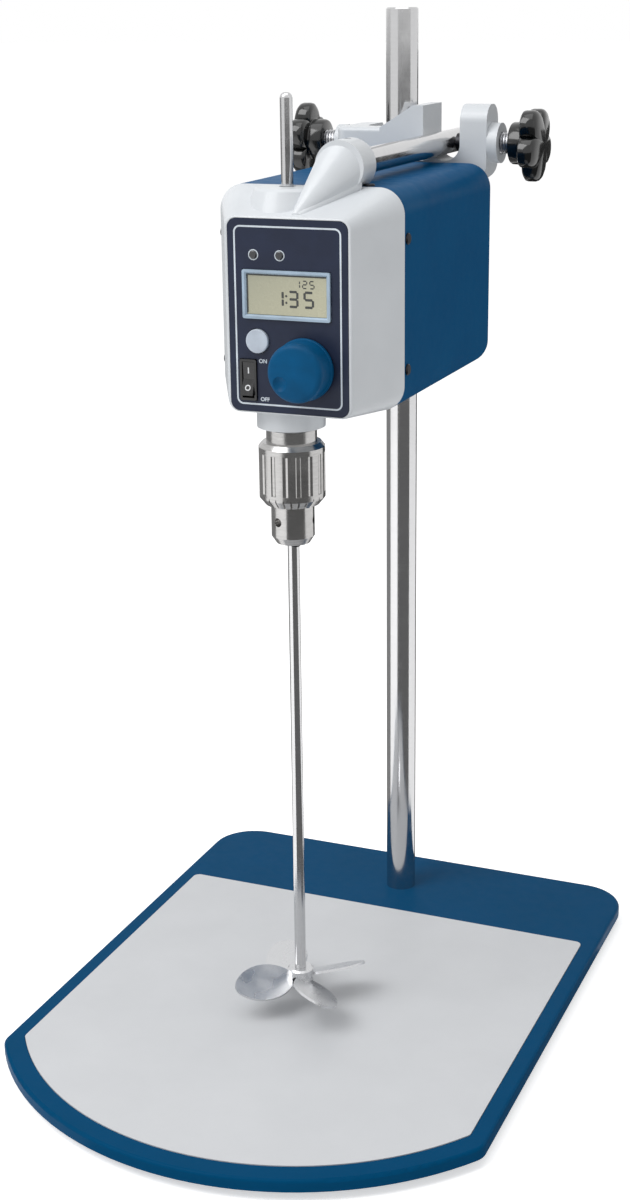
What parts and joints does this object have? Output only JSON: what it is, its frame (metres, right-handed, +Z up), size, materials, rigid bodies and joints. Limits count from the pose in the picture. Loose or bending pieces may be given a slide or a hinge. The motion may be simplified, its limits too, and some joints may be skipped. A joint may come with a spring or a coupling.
{
  "type": "overhead stirrer",
  "caption": "Bench overhead stirrer: blue plate stand and pole, clamped motor head with display and speed knob, keyed chuck, stirring shaft and bladed propeller.",
  "frame": {"origin": "on the bench, under the middle of the base plate", "axes": "+Z up along the pole, the control panel faces -Y, +X to the right of the panel as it is read"},
  "size_m": [0.29, 0.39, 0.577],
  "materials": {
    "blue_enamel": "semi-gloss blue enamel on steel",
    "grey_sheet": "fine-grained light grey sheet",
    "black_rubber": "matt black rubber",
    "zinc_steel": "bright zinc-plated steel",
    "stainless_steel": "drawn stainless steel, lengthwise grain",
    "grey_casting": "light grey stoved paint on a casting",
    "screw_steel": "rolled thread, bright steel",
    "black_plastic": "moulded black thermoset",
    "black_oxide": "black oxide screw heads",
    "navy_panel": "dark navy printed overlay",
    "frame_plastic": "pale blue-grey display frame",
    "display_window": "grey-green liquid crystal window",
    "button_plastic": "pale grey push button",
    "light_lens": "dark lens of an indicator",
    "switch_plastic": "black switch plastic",
    "knob_blue": "satin blue moulded knob",
    "circuit_board": "green laminate and parts",
    "inlet_plastic": "black moulded inlet",
    "brass_pins": "bright pins",
    "bearing_steel": "ground bearing steel",
    "gear_steel": "machined steel",
    "chuck_steel": "ground chuck steel, turned marks"
  },
  "bodies": {
    "base": {"base_plate": "blue_enamel", "work_surface": "grey_sheet", "rubber_feet": "black_rubber", "foot_screws": "zinc_steel", "pole": "stainless_steel", "pole_bolt": "zinc_steel", "pole_washer": "zinc_steel"},
    "clamp": {"clamp_body": "grey_casting"},
    "pole_pad": {"pole_clamp_pad": "screw_steel"},
    "pole_knob": {"pole_clamp_screw": "screw_steel", "pole_clamp_knob": "black_plastic"},
    "rod_pad": {"rod_clamp_pad": "screw_steel"},
    "rod_knob": {"rod_clamp_screw": "screw_steel", "rod_clamp_knob": "black_plastic"},
    "head": {"support_rod": "stainless_steel", "rod_set_screws": "black_oxide", "front_housing": "grey_casting", "rear_cover": "blue_enamel", "cover_screws": "black_oxide", "control_panel": "navy_panel", "display_bezel": "frame_plastic", "display_glass": "display_window", "display_module": "circuit_board", "indicator_lights": "light_lens", "mode_switch": "circuit_board", "power_switch_frame": "switch_plastic", "speed_encoder": "bearing_steel", "control_board": "circuit_board", "board_screws": "zinc_steel", "gear_plate": "gear_steel", "gear_plate_pillars": "zinc_steel", "motor_body": "gear_steel", "motor_screws": "zinc_steel", "idler_stud": "zinc_steel", "lower_bearing": "bearing_steel", "upper_bearing": "bearing_steel", "mains_inlet": "inlet_plastic", "inlet_pins": "brass_pins", "power_supply": "circuit_board", "supply_spacers": "zinc_steel"},
    "spindle": {"spindle": "gear_steel", "spindle_gear": "gear_steel", "chuck_body": "chuck_steel"},
    "chuck_sleeve": {"chuck_sleeve": "chuck_steel", "chuck_nut": "chuck_steel"},
    "jaw_1": {"chuck_jaw_1": "chuck_steel"},
    "jaw_2": {"chuck_jaw_2": "chuck_steel"},
    "jaw_3": {"chuck_jaw_3": "chuck_steel"},
    "stirrer": {"stirring_shaft": "stainless_steel", "propeller": "stainless_steel", "hub_set_screw": "black_oxide"},
    "idler": {"idler_gear": "gear_steel"},
    "motor_rotor": {"motor_shaft": "gear_steel", "motor_pinion": "gear_steel"},
    "speed_knob": {"speed_knob": "knob_blue", "encoder_shaft": "bearing_steel"},
    "mode_button": {"mode_button": "button_plastic"},
    "power_rocker": {"power_rocker": "switch_plastic"}
  },
  "joints": [
    {"name": "clamp_height", "type": "slide", "parent": "base", "child": "clamp", "axis": [0, 0, 1], "range_m": [-0.005, 0.05]},
    {"name": "pole_pad_slide", "type": "slide", "parent": "clamp", "child": "pole_pad", "axis": [-1, 0, 0], "range_m": [0, 0.006]},
    {"name": "pole_knob_turn", "type": "hinge", "parent": "pole_pad", "child": "pole_knob", "pos_m": [-0.045, 0.151, 0.501], "axis": [-1, 0, 0], "range_deg": [0, 1234]},
    {"name": "rod_pad_slide", "type": "slide", "parent": "clamp", "child": "rod_pad", "axis": [1, 0, 0], "range_m": [0, 0.006]},
    {"name": "rod_knob_turn", "type": "hinge", "parent": "rod_pad", "child": "rod_knob", "pos_m": [0.07, 0.151, 0.501], "axis": [1, 0, 0], "range_deg": [0, 1234]},
    {"name": "rod_reach", "type": "slide", "parent": "clamp", "child": "head", "axis": [0, -1, 0], "range_m": [-0.004, 0.022]},
    {"name": "spindle_spin", "type": "hinge", "parent": "head", "child": "spindle", "pos_m": [0, -0.021, 0.4], "axis": [0, 0, 1], "continuous": true},
    {"name": "idler_spin", "type": "hinge", "parent": "head", "child": "idler", "pos_m": [0, 0.004, 0.384], "axis": [0, 0, 1], "continuous": true},
    {"name": "motor_spin", "type": "hinge", "parent": "head", "child": "motor_rotor", "pos_m": [0, 0.022, 0.4], "axis": [0, 0, 1], "continuous": true},
    {"name": "chuck_sleeve_turn", "type": "hinge", "parent": "spindle", "child": "chuck_sleeve", "pos_m": [0, -0.021, 0.34], "axis": [0, 0, -1], "range_deg": [0, 1440]},
    {"name": "jaw_1_slide", "type": "slide", "parent": "spindle", "child": "jaw_1", "axis": [0.1308, -0.1616, 0.9781], "range_m": [0, 0.006]},
    {"name": "jaw_2_slide", "type": "slide", "parent": "spindle", "child": "jaw_2", "axis": [0.0745, 0.1941, 0.9781], "range_m": [0, 0.006]},
    {"name": "jaw_3_slide", "type": "slide", "parent": "spindle", "child": "jaw_3", "axis": [-0.2054, -0.0325, 0.9781], "range_m": [0, 0.006]},
    {"name": "shaft_height", "type": "slide", "parent": "spindle", "child": "stirrer", "axis": [0, 0, 1], "range_m": [-0.006, 0.2]},
    {"name": "speed_knob_turn", "type": "hinge", "parent": "head", "child": "speed_knob", "pos_m": [0.01935, -0.055, 0.4012], "axis": [0, 1, 0], "range_deg": [-20, 280]},
    {"name": "mode_button_press", "type": "slide", "parent": "head", "child": "mode_button", "axis": [0, 1, 0], "range_m": [0, 0.0006], "stiffness_N_per_m": 500, "springref_m": -0.001},
    {"name": "power_rocker_tip", "type": "hinge", "parent": "head", "child": "power_rocker", "pos_m": [-0.01285, -0.0436, 0.3937], "axis": [1, 0, 0], "range_deg": [0, 16]}
  ],
  "couplings": [
    {"joint": "pole_knob_turn", "follows": "pole_pad_slide", "rad_per_m": 3590.4},
    {"joint": "rod_knob_turn", "follows": "rod_pad_slide", "rad_per_m": 3590.4},
    {"joint": "idler_spin", "follows": "spindle_spin", "ratio": -1.2727},
    {"joint": "motor_spin", "follows": "spindle_spin", "ratio": 2},
    {"joint": "chuck_sleeve_turn", "follows": "jaw_1_slide", "rad_per_m": 4188.8},
    {"joint": "jaw_2_slide", "follows": "jaw_1_slide", "ratio": 1},
    {"joint": "jaw_3_slide", "follows": "jaw_1_slide", "ratio": 1}
  ]
}
